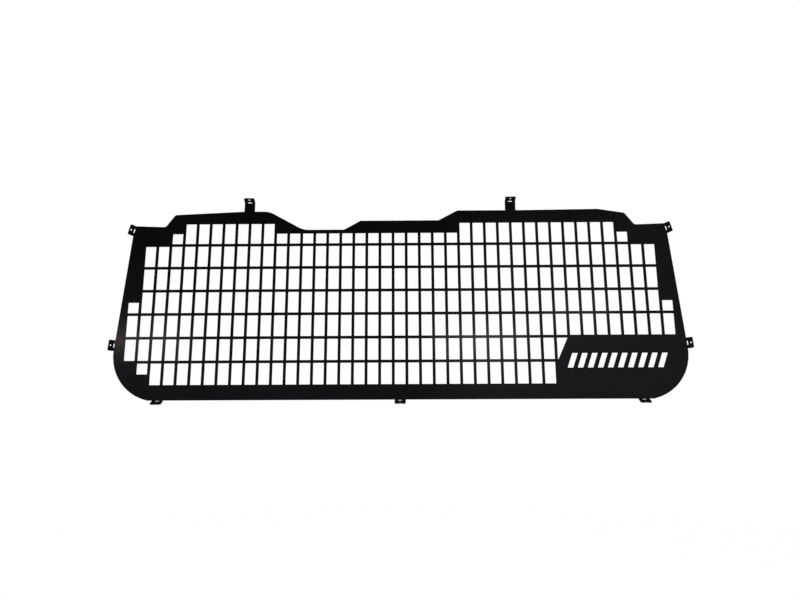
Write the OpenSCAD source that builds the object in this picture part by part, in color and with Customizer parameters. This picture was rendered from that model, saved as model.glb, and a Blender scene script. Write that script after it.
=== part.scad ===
// Headache rack: a flat perforated steel guard held by nine folded mounting tabs.
// The sheet stands in the X-Z plane with its front towards -Y. Sizes are millimetres.
// The guard is laid out on its own hole grid: column 0 is the middle of the sheet and
// row 0 is the top row. The finished model is moved so that its origin is the middle
// of the bottom centre tab's screw hole.

/* [Sheet] */
// Thickness of the steel sheet, in the guard and in the tabs
sheet_t = 2; // [1.5:0.5:3]

/* [Hole grid] */
// Width of one upright hole
hole_w = 25; // [20:1:32]
// Height of one upright hole
hole_h = 50; // [40:1:62]
// Width of the web between two holes
web = 7; // [5:0.5:10]
// Columns on each side of the middle one, in the widest row
side_cols = 20; // [18:1:24]
// Rows of holes
rows = 7; // [6:1:9]

/* [Outline] */
// Solid steel above the whole holes, and above the short holes under the crown
top_rim = 32; // [26:1:40]
// Solid steel above the short holes in the dip
dip_rim = 9.5; // [7:0.5:14]
// Height of the outer shoulders above the middle of the top row
corner_rim = 18.5; // [14:0.5:22]
// Solid steel below the bottom row
bottom_rim = 36; // [28:1:44]
// Distance from the outer column's middle to the top of the corner chamfer
corner_out = 8; // [4:0.5:14]
// Lean of the sides, which spread towards the bottom
side_lean = 4.84; // [3:0.01:6]
// Radius of the two large bottom corners
corner_r = 112.5; // [94:0.5:135]
// Angle at which a large corner meets the bottom edge
corner_meet = 12; // [4:1:20]
// Radius of the two long bends at the left ramp
ramp_r = 50; // [30:1:55]
// Radius of the outline's other bends
break_r = 9; // [4:1:11]
// Height of the two tongues that carry the top tabs
tongue_h = 21.5; // [10:0.5:40]

/* [Mounting tabs] */
// Width of a tab
tab_w = 26; // [20:1:31]
// Angle by which a flange is folded forwards out of the sheet
bend_angle = 60; // [45:1:90]
// Inner radius of the fold
bend_r = 2; // [1:0.5:3]
// Length of the flat flange past the fold
flange_l = 12.5; // [11:0.5:18]
// Radius of the flange's two free corners
flange_corner_r = 3; // [1:0.5:5]
// Diameter of the screw hole in a flange
bore_d = 4.3; // [3.4:0.1:6.6]
// Distance from the end of the fold to the middle of the screw hole
bore_out = 7; // [5.5:0.5:8.5]
// Length of the slot that weakens the fold line
relief_l = 10; // [6:0.5:14]
// Width of the slot that weakens the fold line
relief_w = 2; // [1:0.5:4]

/* [Tab places] */
// Distance from the end of the left level stretch to the left top tab
top_left_inset = 0.5; // [0.5:0.5:8]
// Distance from the end of the right level stretch to the right top tab
top_right_inset = 11; // [0.5:0.5:60]
// Distance from the foot of a large corner to an outer bottom tab
bottom_inset = 10; // [1:1:300]
// Height of the side tabs above the middle of the large corners
side_tab_rise = 19; // [17:1:120]
// Tilt of the corner tabs above the horizontal
corner_tab_tilt = 15; // [8:1:25]

/* [Solid panel] */
// Last column of holes beside the solid panel
panel_col = 11; // [8:1:13]
// Width left at the foot of the hole that the panel's slanted edge clips
clip_foot = 1.7; // [1:0.1:5]
// Number of slanted cut-outs in the panel
cutouts = 10; // [4:1:10]
// Width of one slanted cut-out
cutout_w = 13; // [8:1:16]
// Height of one slanted cut-out
cutout_h = 34; // [20:1:41]
// Distance between neighbouring cut-outs
cutout_pitch = 23.5; // [19:0.5:24]
// Slant of the cut-outs from the vertical
cutout_slant = 20; // [0:1:25]
// Distance from the clipped hole's middle to the middle of the first cut-out
cutout_inset = 22; // [20:1:40]

/* [Hidden] */

$fn = 48;
corner_step = 4;  // degrees between the points of a large corner
bend_step = 12;   // degrees between the points of any other bend
past = 1;         // how far a cutter runs past the steel
coat = [0.10, 0.105, 0.11];

col_pitch = hole_w + web;
row_pitch = hole_h + web;
last_row = rows - 1;

// Levels of the outline, up from the middle of the top row
shoulder_z = hole_h / 2 + top_rim;
crown_z = top_rim;
bottom_z = row_z(last_row) - hole_h / 2 - bottom_rim;

// Small rises and falls of the top edge along its outer stretches
shoulder_rise = 2;
corner_rise = 2.5;
left_fall = 7.6;
right_fall = 8.3;

// Columns at which the top edge changes level
step_foot_col = side_cols - 2;
step_head_col = side_cols - 2.7;
left_level_col = side_cols - 8;
right_level_col = 9.3;

// Middles of the two tongues on the top edge
tongue_left_x = tab_w / 2 + top_left_inset - col_x(left_level_col);
tongue_right_x = col_x(right_level_col) - tab_w / 2 - top_right_inset;

// The chamfer that carries a corner tab, from its top to its foot
corner_top = [col_x(side_cols) + corner_out, corner_rim + corner_rise];
corner_foot = corner_top + tab_w * [sin(corner_tab_tilt), -cos(corner_tab_tilt)];

// Centre of the large bottom corner, which touches the side and cuts the bottom edge
round_z = bottom_z + corner_r * cos(corner_meet);
round_x = side_x(round_z) - corner_r / cos(side_lean);
round_foot_x = round_x + corner_r * sin(corner_meet);

// Half of the outline below the corner tab, from the side down to the bottom edge
round_steps = ceil((90 + side_lean - corner_meet) / corner_step);
lower_corner = [
  for (k = [0 : round_steps])
    let (angle = side_lean - k * (90 + side_lean - corner_meet) / round_steps)
    [round_x + corner_r * cos(angle), round_z + corner_r * sin(angle), 0]
];

// Outline, clockwise from the upper left corner: x, height and radius of the bend
outline = [
  [-corner_top[0], corner_top[1], 0],
  [-col_x(step_foot_col), corner_rim, break_r],
  [-col_x(step_head_col), shoulder_z - left_fall, break_r],
  [-col_x(left_level_col), shoulder_z, 0],
  each tongue(tongue_left_x),
  [-col_x(10.05), shoulder_z, ramp_r],
  [-col_x(7.4), dip_rim, ramp_r],
  [-col_x(4.25), dip_rim, break_r],
  [-col_x(3), crown_z, break_r],
  [col_x(3), crown_z, break_r],
  [col_x(4.45), shoulder_z, break_r],
  each tongue(tongue_right_x),
  [col_x(right_level_col), shoulder_z, 0],
  [col_x(side_cols - 4.75), shoulder_z + shoulder_rise, break_r],
  [col_x(step_head_col), shoulder_z - right_fall, break_r],
  [col_x(step_foot_col), corner_rim, break_r],
  [corner_top[0], corner_top[1], 0],
  [corner_foot[0], corner_foot[1], 0],
  each lower_corner,
  each [for (k = [round_steps : -1 : 0]) [-lower_corner[k][0], lower_corner[k][1], 0]],
  [-corner_foot[0], corner_foot[1], 0]
];

// Runs of whole holes: row, first column, last column
whole_runs = [
  [0, 4 - side_cols, -10],
  [0, 5, side_cols - 4],
  for (row = [1 : last_row - 3]) [row, 1 - side_cols, side_cols - 1],
  [last_row - 2, -side_cols, side_cols],
  [last_row - 1, -side_cols, panel_col],
  [last_row, 2 - side_cols, panel_col]
];

// Runs of short holes that keep only their lower half
lower_runs = [
  [0, 3 - side_cols, 3 - side_cols],
  [0, -9, 4],
  [0, side_cols - 3, side_cols - 3],
  [last_row - 3, -side_cols, -side_cols],
  [last_row - 3, side_cols, side_cols]
];

// The short hole beside the left bottom corner, which keeps its upper half
upper_runs = [[last_row, 1 - side_cols, 1 - side_cols]];

// Middle of a tab's screw hole, in the tab's own frame
bore_y = -bend_r + (bend_r + sheet_t / 2) * cos(bend_angle) - bore_out * sin(bend_angle);
bore_z = (bend_r + sheet_t / 2) * sin(bend_angle) + bore_out * cos(bend_angle);

function col_x(col) = col * col_pitch;
function row_z(row) = -row * row_pitch;
function side_x(z) = corner_foot[0] + (corner_foot[1] - z) * tan(side_lean);
function unit(v) = v / norm(v);

// Corners of a tongue that stands on the level stretch of the top edge
function tongue(x) = [
  for (corner = [[-1, 0], [-1, 1], [1, 1], [1, 0]])
    [x + corner[0] * tab_w / 2, shoulder_z + corner[1] * tongue_h, 0]
];

// Points of a bend: an arc that touches both sides of the corner `at`
function bend_points(before, at, after, r) =
  let (
    a = unit(before - at),
    b = unit(after - at),
    half = acos(a * b) / 2,
    middle = at + unit(a + b) * r / sin(half),
    spoke = at + a * r / tan(half) - middle,
    turn = (a[0] * b[1] - a[1] * b[0] > 0 ? -1 : 1) * (180 - 2 * half),
    steps = ceil(abs(turn) / bend_step)
  )
  [for (k = [0 : steps])
    let (angle = turn * k / steps)
    middle + [spoke[0] * cos(angle) - spoke[1] * sin(angle),
              spoke[0] * sin(angle) + spoke[1] * cos(angle)]];

function flat_point(p) = [p[0], p[1]];

function rounded(points) =
  [for (k = [0 : len(points) - 1])
    let (
      before = flat_point(points[(k + len(points) - 1) % len(points)]),
      at = flat_point(points[k]),
      after = flat_point(points[(k + 1) % len(points)])
    )
    each (points[k][2] > 0 ? bend_points(before, at, after, points[k][2]) : [at])];

// Moves the whole model so that the bottom centre screw hole is the origin
module home() translate([0, -bore_y, bore_z - bottom_z]) children();

// Makes a slab between two depths from an outline drawn in X-Z
module slab(front, back)
  translate([0, back, 0]) rotate([90, 0, 0]) linear_extrude(back - front) children();

module hole_run(run, low, high) {
  for (col = [run[1] : run[2]])
    translate([col_x(col) - hole_w / 2, row_z(run[0]) + low]) square([hole_w, high - low]);
}

// The hole beside the solid panel, clipped by the panel's slanted edge
module clipped_hole() {
  translate([col_x(panel_col + 1), row_z(last_row - 1)])
    polygon([
      [-hole_w / 2, -hole_h / 2],
      [clip_foot - hole_w / 2, -hole_h / 2],
      [hole_w / 2, hole_h / 2],
      [-hole_w / 2, hole_h / 2]
    ]);
}

module slanted_cutouts() {
  lean = cutout_h * tan(cutout_slant) / 2;
  middle_z = (row_z(last_row - 1) + row_z(last_row)) / 2;
  for (k = [0 : cutouts - 1])
    translate([col_x(panel_col + 1) + cutout_inset + k * cutout_pitch, middle_z])
      polygon([
        [-cutout_w / 2 - lean, -cutout_h / 2],
        [cutout_w / 2 - lean, -cutout_h / 2],
        [cutout_w / 2 + lean, cutout_h / 2],
        [lean - cutout_w / 2, cutout_h / 2]
      ]);
}

module guard_panel() {
  color(coat) home() difference() {
    slab(0, sheet_t) polygon(rounded(outline));
    slab(-past, sheet_t + past) {
      for (run = whole_runs) hole_run(run, -hole_h / 2, hole_h / 2);
      for (run = lower_runs) hole_run(run, -hole_h / 2, 0);
      for (run = upper_runs) hole_run(run, 0, hole_h / 2);
      clipped_hole();
      slanted_cutouts();
    }
  }
}

// Turns the children about the axis of the fold
module turned(angle)
  translate([0, -bend_r, 0]) rotate([angle, 0, 0]) translate([0, bend_r, 0]) children();

// The curved metal of the fold, which curls back from the foot of the flange
module fold()
  translate([0, -bend_r, 0]) rotate([90, 0, 90]) mirror([0, 1, 0])
    rotate_extrude(angle = bend_angle)
      translate([bend_r, -tab_w / 2]) square([sheet_t, tab_w]);

// The flat flange with its two rounded free corners
module flange() {
  corner_x = tab_w / 2 - flange_corner_r;
  corner_z = flange_l - flange_corner_r;
  slab(0, sheet_t) {
    translate([-tab_w / 2, 0]) square([tab_w, corner_z]);
    translate([-corner_x, 0]) square([2 * corner_x, flange_l]);
    for (side = [-1, 1]) translate([side * corner_x, corner_z]) circle(flange_corner_r);
  }
}

// The slot through the middle of the fold
module relief_slot() {
  reach = (relief_l - relief_w) / 2;
  turned(-bend_angle / 2) slab(-bend_r, sheet_t + past) {
    square([2 * reach, relief_w], center = true);
    for (side = [-1, 1]) translate([side * reach, 0]) circle(d = relief_w);
  }
}

// One tab: its root is at the origin, it grows upwards and folds forwards.
// It is drawn with its flange upright and then turned forwards by the bend angle.
module tab() {
  color(coat) turned(bend_angle) difference() {
    union() {
      fold();
      flange();
    }
    relief_slot();
    slab(-past, sheet_t + past) translate([0, bore_out]) circle(d = bore_d);
  }
}

// Seats a tab with its root's middle at x, z, turned clockwise by `turn` from upright
module seat(x, z, turn) home() translate([x, 0, z]) rotate([0, turn, 0]) children();

// The corner and side tabs of one side: side is -1 for the left and 1 for the right
module corner_tab(side) {
  middle = (corner_top + corner_foot) / 2;
  seat(side * middle[0], middle[1], side * (90 - corner_tab_tilt)) tab();
}

module top_tab(x) seat(x, shoulder_z + tongue_h, 0) tab();

module side_tab(side) {
  z = round_z + side_tab_rise;
  seat(side * side_x(z), z, side * (90 - side_lean)) tab();
}

module bottom_tab(side)
  seat(side * (round_foot_x - tab_w / 2 - bottom_inset), bottom_z, 180) tab();

module tab_corner_left() corner_tab(-1);
module tab_corner_right() corner_tab(1);
module tab_top_left() top_tab(tongue_left_x);
module tab_top_right() top_tab(tongue_right_x);

module tab_side_left() side_tab(-1);
module tab_side_right() side_tab(1);
module tab_bottom_left() bottom_tab(-1);
module tab_bottom_centre() bottom_tab(0);
module tab_bottom_right() bottom_tab(1);

guard_panel();
tab_corner_left();
tab_corner_right();
tab_top_left();
tab_top_right();
tab_side_left();
tab_side_right();
tab_bottom_left();
tab_bottom_centre();
tab_bottom_right();
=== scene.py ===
import math

import bmesh
import bpy
from mathutils import Matrix, Vector
from mathutils.geometry import delaunay_2d_cdt


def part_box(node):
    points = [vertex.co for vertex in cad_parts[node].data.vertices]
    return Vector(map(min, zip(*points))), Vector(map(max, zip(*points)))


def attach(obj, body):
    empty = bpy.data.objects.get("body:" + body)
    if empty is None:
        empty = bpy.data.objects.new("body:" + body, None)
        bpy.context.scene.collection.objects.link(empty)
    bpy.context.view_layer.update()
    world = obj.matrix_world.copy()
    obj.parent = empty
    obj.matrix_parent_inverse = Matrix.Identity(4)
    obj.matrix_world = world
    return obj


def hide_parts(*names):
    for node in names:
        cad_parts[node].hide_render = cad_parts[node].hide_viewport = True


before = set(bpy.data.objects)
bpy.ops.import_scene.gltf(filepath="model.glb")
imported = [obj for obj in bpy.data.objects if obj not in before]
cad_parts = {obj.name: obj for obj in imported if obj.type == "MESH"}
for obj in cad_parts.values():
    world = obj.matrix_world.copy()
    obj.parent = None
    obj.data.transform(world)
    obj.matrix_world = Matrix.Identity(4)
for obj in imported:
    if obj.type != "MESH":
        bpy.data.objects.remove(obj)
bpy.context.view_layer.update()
print("frame loaded:", len(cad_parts), "pieces of steel")

mm = 0.001  # the sizes below are in millimetres and are turned into metres here

tabNames = [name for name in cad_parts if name.startswith("tab_")]


# The guard sheet is rebuilt from the borders of the steel, with the soft rims of a coated edge
guardSheet = {
    "node": "guard_panel",
    "rimRadius": 0.35 * mm,      # how round the coat leaves the cut edges
    "cornerRadius": 0.7 * mm,    # inside corners of the holes and every other sharp corner
    "cornerSteps": 3,            # segments round such a corner
    "rimSteps": 3,               # segments from the face down to the cut wall
    "sharpTurn": 13,             # degrees: a corner that turns more than this is rounded
    "weld": 0.002 * mm,
    "seatReach": 0.05 * mm,      # a tab's root this close to the outline sits on it
    "straightTurn": 0.2,         # degrees: a point that turns less than this is left out
    "wallWear": 0.35,            # how rubbed the cut wall is, where 1 is the middle of its rim
    "fillTolerance": 1e-9,       # metres, for the triangles between the borders
}


def weldedMesh(node, weld):
    shape = bmesh.new()
    shape.from_mesh(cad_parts[node].data)
    bmesh.ops.remove_doubles(shape, verts=shape.verts, dist=weld)
    return shape


def faceDepths(shape):
    depths = [v.co.y for v in shape.verts]
    return min(depths), max(depths)


# Follows the border of the front face: the outline and the holes, with the steel on the left
def borderLoops(shape, front, weld):
    def isFront(face):
        return all(abs(v.co.y - front) < weld for v in face.verts)

    follow = {}
    for face in shape.faces:
        if not isFront(face):
            continue
        for corner in face.loops:
            if any(not isFront(other) for other in corner.edge.link_faces):
                follow[corner.vert] = corner.link_loop_next.vert
    loops = []
    while follow:
        start = next(iter(follow))
        loop, at = [], start
        while at in follow:
            loop.append(Vector((at.co.x, at.co.z)))
            at = follow.pop(at)
        loops.append(loop)
    return loops


def turnAt(before, at, after):
    a, b = at - before, after - at
    return math.atan2(a.x * b.y - a.y * b.x, a.dot(b))


def outwards(a, b):
    along = (b - a).normalized()
    return Vector((along.y, -along.x))  # away from the steel


def withoutStraightPoints(loop, straightTurn):
    count = len(loop)
    return [
        loop[k] for k in range(count)
        if abs(turnAt(loop[k - 1], loop[k], loop[(k + 1) % count])) > math.radians(straightTurn)
    ]


# Where each tab's root touches the outline: pairs of points on it
def tabSeats(outline, front, sheet):
    seats = []
    count = len(outline)
    for name in tabNames:
        shape = weldedMesh(name, sheet["weld"])
        touching = []
        for vert in shape.verts:
            if abs(vert.co.y - front) > sheet["seatReach"]:
                continue
            at = Vector((vert.co.x, vert.co.z))
            for k in range(count):
                a, b = outline[k], outline[(k + 1) % count]
                along = (b - a).normalized()
                reach = (at - a).dot(along)
                off = (at - a - along * reach).length
                onEdge = -sheet["seatReach"] < reach < (b - a).length + sheet["seatReach"]
                if off < sheet["seatReach"] and onEdge:
                    touching.append((k, reach, at))
                    break
        shape.free()
        edge = max(set(t[0] for t in touching), key=[t[0] for t in touching].count)
        reaches = sorted(t[1] for t in touching if t[0] == edge)
        seats.append({"edge": edge, "from": reaches[0], "to": reaches[-1]})
    return seats


def station(at, normal, radius, miter=1.0):
    return {"at": at, "normal": normal, "radius": radius, "miter": miter}


# Turns a plain loop into stations: sharp corners become arcs, and seats lose their round rim
def loopStations(loop, seats, sheet):
    rim, count, stations = sheet["rimRadius"], len(loop), []
    for k in range(count):
        before, at, after = loop[k - 1], loop[k], loop[(k + 1) % count]
        turn = turnAt(before, at, after)
        normalIn, normalOut = outwards(before, at), outwards(at, after)
        seatsHere = [s for s in seats if s["edge"] == k]
        startsSeat = any(s["from"] < sheet["cornerRadius"] for s in seatsHere)
        endsSeat = any(
            s["edge"] == (k - 1) % count and s["to"] > (at - before).length - sheet["cornerRadius"]
            for s in seats
        )
        if startsSeat:
            stations.append(station(at, normalIn, rim))
        elif endsSeat:
            stations.append(station(at, normalOut, rim))
        elif abs(turn) > math.radians(sheet["sharpTurn"]):
            radius = sheet["cornerRadius"]
            back = radius * math.tan(abs(turn) / 2)
            centre = at - (at - before).normalized() * back - normalIn * radius * math.copysign(1, turn)
            for step in range(sheet["cornerSteps"] + 1):
                swing = turn * step / sheet["cornerSteps"]
                normal = Matrix.Rotation(swing, 2) @ normalIn
                stations.append(station(centre + normal * radius * math.copysign(1, turn), normal, rim))
        else:
            normal = (normalIn + normalOut).normalized()
            stations.append(station(at, normal, rim, 1 / math.cos(turn / 2)))
        along = (after - at).normalized()
        for seat in sorted(seatsHere, key=lambda s: s["from"]):
            if seat["from"] > sheet["cornerRadius"]:
                stations.append(station(at + along * seat["from"], normalOut, rim))
            stations.append(station(at + along * (seat["from"] + rim), normalOut, 0))
            stations.append(station(at + along * (seat["to"] - rim), normalOut, 0))
            if seat["to"] < (after - at).length - sheet["cornerRadius"]:
                stations.append(station(at + along * seat["to"], normalOut, rim))
    return stations


# The rings of one station, from the front face round the wall to the back face
def stationRings(spot, front, back, sheet):
    steps = sheet["rimSteps"]
    radius, inwards = spot["radius"], -spot["normal"] * spot["miter"]
    rings = []
    for side, depth in ((-1, front), (1, back)):
        half = []
        for k in range(steps + 1):
            angle = math.pi / 2 * k / steps
            flat = spot["at"] + inwards * radius * (1 - math.sin(angle))
            y = depth - side * radius * (1 - math.cos(angle))
            level = Vector((spot["normal"].x * math.sin(angle), side * math.cos(angle),
                            spot["normal"].y * math.sin(angle)))
            worn = math.sin(2 * angle) if k < steps else sheet["wallWear"]
            half.append((Vector((flat.x, y, flat.y)), level, worn))
        rings += half if side < 0 else half[::-1]
    return rings


def insideLoop(at, loop):
    inside = False
    for k in range(len(loop)):
        a, b = loop[k - 1], loop[k]
        if (a.y > at.y) != (b.y > at.y) and at.x < a.x + (at.y - a.y) / (b.y - a.y) * (b.x - a.x):
            inside = not inside
    return inside


# Points that fall together, as they do at a tab's seat, become one, so that the steel is closed
def finishedObject(name, points, faces, normals, worn, weld):
    shape = bmesh.new()
    rim = shape.verts.layers.float.new("rim")
    facing = shape.verts.layers.float_vector.new("facing")
    verts = []
    for at, normal, wear in zip(points, normals, worn):
        vert = shape.verts.new(at)
        vert[rim], vert[facing] = wear, normal
        verts.append(vert)
    for face in faces:
        shape.faces.new([verts[k] for k in face])
    bmesh.ops.remove_doubles(shape, verts=shape.verts, dist=weld)
    normals = [vert[facing].copy() for vert in shape.verts]
    shape.verts.layers.float_vector.remove(facing)
    mesh = bpy.data.meshes.new(name)
    shape.to_mesh(mesh)
    shape.free()
    mesh.polygons.foreach_set("use_smooth", [True] * len(mesh.polygons))
    mesh.normals_split_custom_set_from_vertices(normals)
    piece = bpy.data.objects.new(name, mesh)
    bpy.context.collection.objects.link(piece)
    return piece


def makeGuardSheet(sheet):
    shape = weldedMesh(sheet["node"], sheet["weld"])
    front, back = faceDepths(shape)
    loops = [withoutStraightPoints(loop, sheet["straightTurn"])
             for loop in borderLoops(shape, front, sheet["weld"])]
    shape.free()
    loops.sort(key=lambda loop: max(p.x for p in loop) - min(p.x for p in loop), reverse=True)
    seats = tabSeats(loops[0], front, sheet)
    rows = [loopStations(loop, seats if k == 0 else [], sheet) for k, loop in enumerate(loops)]

    points, normals, worn, faces, borders = [], [], [], [], []
    ringCount = 2 * (sheet["rimSteps"] + 1)
    for stations in rows:
        start = len(points)
        for spot in stations:
            for at, level, wear in stationRings(spot, front, back, sheet):
                points.append(at)
                normals.append(level)
                worn.append(wear)
        count = len(stations)
        for k in range(count):
            here, there = start + k * ringCount, start + (k + 1) % count * ringCount
            for r in range(ringCount - 1):
                faces.append((here + r, here + r + 1, there + r + 1, there + r))
        borders.append([start + k * ringCount for k in range(count)])

    # one triangulation serves both faces of the sheet
    flat = [Vector((points[i].x, points[i].z)) for border in borders for i in border]
    index = [i for border in borders for i in border]
    edges, base = [], 0
    for border in borders:
        edges += [(base + k, base + (k + 1) % len(border)) for k in range(len(border))]
        base += len(border)
    verts, _, triangles, origins, _, _ = delaunay_2d_cdt(flat, edges, [], 0, sheet["fillTolerance"])
    kept = [index[o[0]] for o in origins]
    holeBoxes = []  # a quick test by its box comes before the exact one by its ring
    for border in borders[1:]:
        ring = [Vector((points[i].x, points[i].z)) for i in border]
        holeBoxes.append((min(p.x for p in ring), max(p.x for p in ring),
                          min(p.y for p in ring), max(p.y for p in ring), ring))
    outline = [Vector((points[i].x, points[i].z)) for i in borders[0]]
    for triangle in triangles:
        middle = sum((verts[i] for i in triangle), Vector((0, 0))) / 3
        if not insideLoop(middle, outline):
            continue
        if any(x0 < middle.x < x1 and z0 < middle.y < z1 and insideLoop(middle, ring)
               for x0, x1, z0, z1, ring in holeBoxes):
            continue
        corners = [kept[i] for i in triangle]
        faces.append(tuple(corners))                                   # front, seen from -Y
        faces.append(tuple(c + ringCount - 1 for c in reversed(corners)))  # back
    piece = finishedObject("guard_sheet", points, faces, normals, worn, sheet["weld"])
    print("guard sheet:", len(rows) - 1, "openings,", len(points), "points")
    return piece


guard = makeGuardSheet(guardSheet)
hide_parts(guardSheet["node"])
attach(guard, "root")


# The folded tabs keep their own shape, with their cut edges rounded as far as the mesh allows
foldedTab = {
    "rimRadius": 0.35 * mm,  # the most: each tab's shortest edge limits its own rounding
    "rimSteps": 3,
    "sharpEdge": 35,      # degrees between two faces that make a cut edge
    "flatAngle": 0.3,     # degrees: faces closer than this are one flat face
    "weld": 0.002 * mm,
    "slotSpan": (6 * mm, 16 * mm),  # a run of cut edges within this length is the fold's slot
    "sliver": 0.03 * mm,  # edges shorter than this are closed up before the cut edges are rounded
    "rootTilt": 0.01,     # the root's normal leans less than this to the front or back
    "rootDepth": 1.5 * mm,     # the root reaches at least this far behind the front of the sheet
    "rootMargin": 0.01 * mm,   # and stands no further than this ahead of it
    "rootArea": 20 * mm * mm,  # the least area of a root
    "rimWear": 0.5,            # how rubbed the rounded edges are
    "shadingWeight": 50,
}


# Groups edges that share corners
def edgeRuns(edges):
    left, runs = set(edges), []
    while left:
        run, waiting = [], [left.pop()]
        while waiting:
            edge = waiting.pop()
            run.append(edge)
            near = {e for vert in edge.verts for e in vert.link_edges} & left
            left -= near
            waiting += near
        runs.append(run)
    return runs


def runLength(run):
    places = [vert.co for edge in run for vert in edge.verts]
    return max((a - b).length for a in places for b in places)


def makeFoldedTab(name, tab, front):
    shape = weldedMesh(name, tab["weld"])
    bmesh.ops.dissolve_limit(
        shape, angle_limit=math.radians(tab["flatAngle"]), verts=shape.verts, edges=shape.edges)
    bmesh.ops.dissolve_degenerate(shape, dist=tab["sliver"], edges=shape.edges)
    bmesh.ops.recalc_face_normals(shape, faces=shape.faces)
    # the root is the one face across the sheet: its rim stays sharp, flush with the sheet
    rootFaces = [f for f in shape.faces
                 if abs(f.normal.y) < tab["rootTilt"]
                 and max(v.co.y for v in f.verts) > front + tab["rootDepth"]
                 and min(v.co.y for v in f.verts) > front - tab["rootMargin"]
                 and f.calc_area() > tab["rootArea"]]
    rootEdges = {e for f in rootFaces for e in f.edges}
    cut = [e for e in shape.edges
           if e.is_manifold and e not in rootEdges
           and e.calc_face_angle(0) > math.radians(tab["sharpEdge"])]
    # the slot's edge runs along the facets of the fold, so it stays as cut
    shortest, longest = tab["slotSpan"]
    cut = [e for run in edgeRuns(cut) if not shortest < runLength(run) < longest for e in run]
    rim = shape.verts.layers.float.new("rim")
    made = bmesh.ops.bevel(
        shape, geom=cut, offset=tab["rimRadius"], offset_type="OFFSET", segments=tab["rimSteps"],
        profile=0.5, affect="EDGES", clamp_overlap=True)
    for face in made["faces"]:
        for vert in face.verts:
            vert[rim] = tab["rimWear"]
    for edge in rootEdges:
        if edge.is_valid:
            edge.smooth = False
    bmesh.ops.remove_doubles(shape, verts=shape.verts, dist=tab["weld"])
    mesh = bpy.data.meshes.new("folded_" + name)
    shape.to_mesh(mesh)
    shape.free()
    mesh.polygons.foreach_set("use_smooth", [True] * len(mesh.polygons))
    piece = bpy.data.objects.new("folded_" + name, mesh)
    bpy.context.collection.objects.link(piece)
    even = piece.modifiers.new("evenShading", "WEIGHTED_NORMAL")
    even.keep_sharp = True
    even.weight = tab["shadingWeight"]
    return piece


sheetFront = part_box(guardSheet["node"])[0][1]
tabs = []
for name in tabNames:
    piece = makeFoldedTab(name, foldedTab, sheetFront)
    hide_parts(name)
    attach(piece, "root")
    tabs.append(piece)
print("folded tabs:", len(tabs))


# A socket that takes part in plain arithmetic
class Flow:
    def __init__(self, finish, socket):
        self.finish, self.socket = finish, socket

    def maths(self, operation, first, second):
        return self.finish.node("ShaderNodeMath", {"operation": operation}, {0: first, 1: second})

    def __add__(self, other): return self.maths("ADD", self, other)
    def __radd__(self, other): return self.maths("ADD", other, self)
    def __sub__(self, other): return self.maths("SUBTRACT", self, other)
    def __rsub__(self, other): return self.maths("SUBTRACT", other, self)
    def __mul__(self, other): return self.maths("MULTIPLY", self, other)
    def __rmul__(self, other): return self.maths("MULTIPLY", other, self)


# The node tree of one material or world
class Finish:
    def __init__(self, owner):
        owner.use_nodes = True
        self.tree = owner.node_tree
        self.tree.nodes.clear()

    # any node: its settings first, then the values or links of its sockets
    def node(self, kind, settings=None, sockets=None, out=0):
        node = self.tree.nodes.new(kind)
        for key, value in (settings or {}).items():
            setattr(node, key, value)
        for key, value in (sockets or {}).items():
            if isinstance(value, Flow):
                self.tree.links.new(value.socket, node.inputs[key])
            else:
                node.inputs[key].default_value = value
        return Flow(self, node.outputs[out]) if node.outputs else None

    def ramp(self, flow, low, high):
        return self.node("ShaderNodeMapRange", {"interpolation_type": "SMOOTHSTEP"},
                         {"Value": flow, "From Min": low, "From Max": high})

    def noise(self, place, scale, detail, roughness):
        return self.node("ShaderNodeTexNoise", None,
                         {"Vector": place, "Scale": scale, "Detail": detail, "Roughness": roughness})

    # sockets 6 and 7 are the two colours, and output 2 is the mixed one
    def mixed(self, share, first, second):
        return self.node("ShaderNodeMix", {"data_type": "RGBA"}, {0: share, 6: first, 7: second}, out=2)


# Semi-gloss black powder coat: orange peel, slow patches, a fine grain, specks and rubbed rims
powderCoat = {
    "black": (0.0022, 0.0022, 0.0024, 1),      # the coat itself
    "blackCool": (0.0030, 0.0032, 0.0037, 1),  # faint cooler patches
    "rubbed": (0.012, 0.0115, 0.011, 1),       # thin coat on the cut edges
    "dust": (0.05, 0.047, 0.042, 1),           # a few settled specks
    "roughness": 0.15,
    "roughnessPatches": 0.05,                  # slow changes over a hand's width
    "roughnessGrain": 0.04,
    "peelScale": 520,                          # bumps per metre of the orange peel
    "peelHeight": 0.04 * mm,
    "grainScale": 2600,
    "grainShare": 0.22,
    "patchScale": 9,
    "speckScale": 900,
    "patchDetail": (3.0, 0.55),                # detail and roughness of each noise
    "peelDetail": (1.5, 0.45),
    "grainDetail": (2.0, 0.6),
    "speckDetail": (0.0, 0.5),
    "coolFrom": (0.35, 0.7),                   # values of the patches, from none to all cool
    "speckFrom": (0.79, 0.83),                 # only the peaks of the noise are specks
    "rubbedFrom": (0.42, 0.62),                # where a rim is rubbed, from none to all
    "rubbedParts": (0.6, 0.4),                 # how much the patches and the grain decide it
    "rubbedShare": 0.6,                        # how strongly each colours the coat
    "dustShare": 0.5,
    "dustRoughness": 0.2,                      # added on a speck
    "rubbedPolish": 0.05,                      # taken off on a rubbed rim
}


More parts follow.
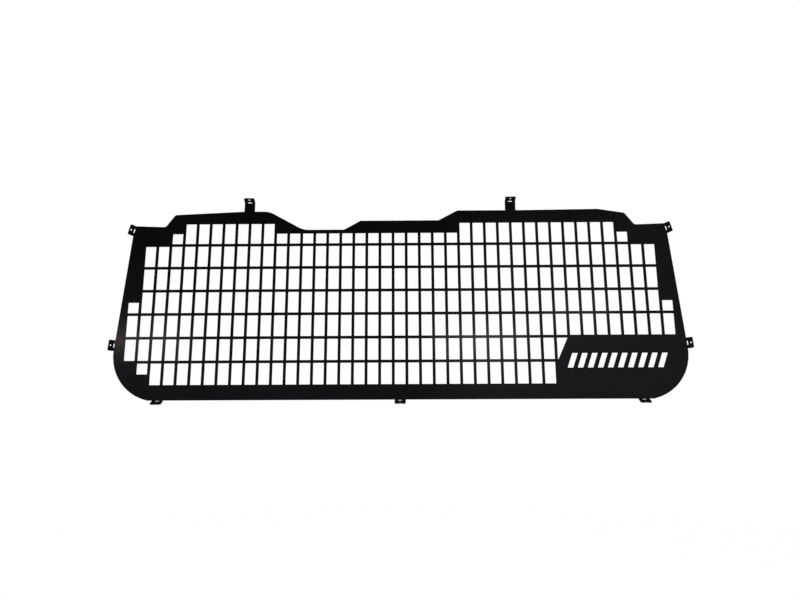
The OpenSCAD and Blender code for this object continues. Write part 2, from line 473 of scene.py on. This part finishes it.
def makePowderCoat(coat):
    material = bpy.data.materials.new("powder_coat_black")
    finish = Finish(material)
    place = finish.node("ShaderNodeTexCoord", out="Object")
    patches = finish.noise(place, coat["patchScale"], *coat["patchDetail"])
    peel = finish.noise(place, coat["peelScale"], *coat["peelDetail"])
    grain = finish.noise(place, coat["grainScale"], *coat["grainDetail"])
    peaks = finish.noise(place, coat["speckScale"], *coat["speckDetail"])
    specks = finish.ramp(peaks, *coat["speckFrom"])
    rim = finish.node("ShaderNodeAttribute", {"attribute_name": "rim"}, out="Fac")
    patchPart, grainPart = coat["rubbedParts"]
    rubbed = rim * finish.ramp(patches * patchPart + grain * grainPart, *coat["rubbedFrom"])

    colour = finish.mixed(finish.ramp(patches, *coat["coolFrom"]), coat["black"], coat["blackCool"])
    colour = finish.mixed(rubbed * coat["rubbedShare"], colour, coat["rubbed"])
    colour = finish.mixed(specks * coat["dustShare"], colour, coat["dust"])
    roughness = (coat["roughness"] + (patches - 0.5) * coat["roughnessPatches"]
                 + (grain - 0.5) * coat["roughnessGrain"]
                 + specks * coat["dustRoughness"] - rubbed * coat["rubbedPolish"])
    height = peel * (1 - coat["grainShare"]) + grain * coat["grainShare"]
    bump = finish.node("ShaderNodeBump", None,
                       {"Strength": 1.0, "Distance": coat["peelHeight"], "Height": height})
    shader = finish.node("ShaderNodeBsdfPrincipled", None,
                         {"Base Color": colour, "Roughness": roughness, "Normal": bump})
    finish.node("ShaderNodeOutputMaterial", None, {"Surface": shader})
    return material


coatMaterial = makePowderCoat(powderCoat)
for piece in [guard] + tabs:
    piece.data.materials.clear()
    piece.data.materials.append(coatMaterial)
print("powder coat applied")


# A white studio with a dim front, as a black product is lit, so that little but the lamps shows on it
studio = {
    "floorDrop": 0.75,          # metres from the origin down to the floor
    "floorHalf": 12,            # metres from its middle to its edge
    "floorColour": (0.95, 0.95, 0.95, 1),
    "floorWhitening": 0.8,      # how far the floor under the guard is lifted to the background's white
    "whiteFrom": (1.2, 5.0),    # metres from the middle over which it becomes fully white
    "worldLight": (0.95, 0.95, 0.96, 1),    # what lights the matt share of every surface
    "dimLow": (0.085, 0.100, 0.125, 1),     # what the front mirrors low down
    "dimHigh": (0.006, 0.0065, 0.008, 1),   # and higher up
    "dimRise": (0.02, 0.30),                # upward slope of the mirrored ray, from low to high
    "sweep": (0.35, 1.1),                   # backward slope over which the white sweep comes in
}

lamps = {
    "topSoftbox": {
        "place": (0.2, 0.5, 2.2), "aim": (0, 0, 0.2), "size": (2.2, 1.0), "watts": 10, "colour": (1, 1, 1)},
    "warmLamp": {
        "place": (-1.57, -2.05, 0.39), "aim": (-0.64, 0, 0.145), "size": (0.56, 0.04), "watts": 0.26,
        "colour": (1, 0.88, 0.74)},
    "coolLamp": {
        "place": (0.45, -2.05, 0.37), "aim": (0.18, 0, 0.138), "size": (0.50, 0.12), "watts": 0.3,
        "colour": (0.93, 1, 0.96)},
    "highLamp": {
        "place": (1.05, -2.05, 0.56), "aim": (0.42, 0, 0.21), "size": (0.36, 0.12), "watts": 0.10,
        "colour": (0.92, 1, 0.97)},
    "coolWash": {
        "place": (1.15, -2.3, 0.60), "aim": (0.45, 0, 0.2), "size": (1.5, 1.3), "watts": 0.6,
        "colour": (0.92, 0.99, 1)},
    "rearSoftbox": {
        "place": (-0.6, 2.4, 1.4), "aim": (0, 0, 0.2), "size": (1.8, 1.0), "watts": 6,
        "colour": (1, 0.99, 0.97)},
}


# 1 for a ray of one of these kinds, and 0 for any other
def seenBy(finish, *kinds):
    rays = [finish.node("ShaderNodeLightPath", out=f"Is {kind} Ray") for kind in kinds]
    return sum(rays[1:], rays[0])


def makeFloor(plan):
    material = bpy.data.materials.new("studio_floor")
    finish = Finish(material)
    place = finish.node("ShaderNodeTexCoord", out="Object")
    reach = finish.node("ShaderNodeVectorMath", {"operation": "LENGTH"}, {0: place}, out="Value")
    rest = (1 - plan["floorWhitening"]) * finish.ramp(reach, *plan["whiteFrom"])
    whitening = plan["floorWhitening"] + rest
    matt = finish.node("ShaderNodeBsdfDiffuse", None, {"Color": plan["floorColour"]})
    white = finish.node("ShaderNodeEmission", None, {"Color": (1, 1, 1, 1), "Strength": 1.0})
    lift = seenBy(finish, "Camera", "Glossy", "Transmission") * whitening
    both = finish.node("ShaderNodeMixShader", None, {0: lift, 1: matt, 2: white})
    finish.node("ShaderNodeOutputMaterial", None, {"Surface": both})
    half, z = plan["floorHalf"], -plan["floorDrop"]
    corners = [(-half, -half, z), (half, -half, z), (half, half, z), (-half, half, z)]
    mesh = bpy.data.meshes.new("studio_floor")
    mesh.from_pydata(corners, [], [(0, 1, 2, 3)])
    mesh.materials.append(material)
    floor = bpy.data.objects.new("studio_floor", mesh)
    floor.visible_glossy = False  # the world says what the coat mirrors
    bpy.context.collection.objects.link(floor)


def makeWorld(plan):
    world = bpy.data.worlds.new("studio")
    finish = Finish(world)
    ways = finish.node("ShaderNodeTexCoord", out="Generated")
    backward = finish.node("ShaderNodeSeparateXYZ", None, {0: ways}, out="Y")
    upward = finish.node("ShaderNodeSeparateXYZ", None, {0: ways}, out="Z")
    glossy = seenBy(finish, "Glossy")
    dim = finish.mixed(finish.ramp(upward, *plan["dimRise"]), plan["dimLow"], plan["dimHigh"])
    colour = finish.mixed(glossy, plan["worldLight"], dim)
    light = finish.node("ShaderNodeBackground", None, {"Color": colour, "Strength": 1.0})
    white = finish.node("ShaderNodeBackground", None, {"Color": (1, 1, 1, 1), "Strength": 1.0})
    share = seenBy(finish, "Camera", "Transmission") + glossy * finish.ramp(backward, *plan["sweep"])
    both = finish.node("ShaderNodeMixShader", None, {0: share, 1: light, 2: white})
    finish.node("ShaderNodeOutputWorld", None, {"Surface": both})
    bpy.context.scene.world = world


def makeLamp(name, lamp):
    light = bpy.data.lights.new(name, "AREA")
    light.shape = "RECTANGLE"
    light.size, light.size_y = lamp["size"]
    light.energy, light.color = lamp["watts"], lamp["colour"]
    holder = bpy.data.objects.new(name, light)
    holder.location = lamp["place"]
    towards = Vector(lamp["aim"]) - Vector(lamp["place"])
    holder.rotation_euler = towards.to_track_quat("-Z", "Y").to_euler()
    holder.visible_camera = False
    bpy.context.collection.objects.link(holder)


makeFloor(studio)
makeWorld(studio)
for name, lamp in lamps.items():
    makeLamp(name, lamp)
print("studio ready:", len(lamps), "lamps")


view = {
    "place": (0.0082, -1.3678, -0.0153),
    "towards": (-0.00552, 0.98294, 0.18385),
    "up": (0.00525, -0.18382, 0.98295),
    "lens": 26.22,  # millimetres, as is the sensor's width
    "sensor": 36,
    "clip": (0.01, 60),
}


def makeCamera(view):
    camera = bpy.data.cameras.new("camera")
    camera.lens, camera.sensor_width = view["lens"], view["sensor"]
    camera.clip_start, camera.clip_end = view["clip"]
    towards, up = Vector(view["towards"]).normalized(), Vector(view["up"])
    right = towards.cross(up).normalized()
    turn = Matrix((right, right.cross(towards), -towards)).transposed()
    holder = bpy.data.objects.new("camera", camera)
    holder.location, holder.rotation_euler = view["place"], turn.to_euler()
    bpy.context.collection.objects.link(holder)
    bpy.context.scene.camera = holder


makeCamera(view)
bpy.context.scene.view_settings.view_transform = "Standard"

print("scene ready")
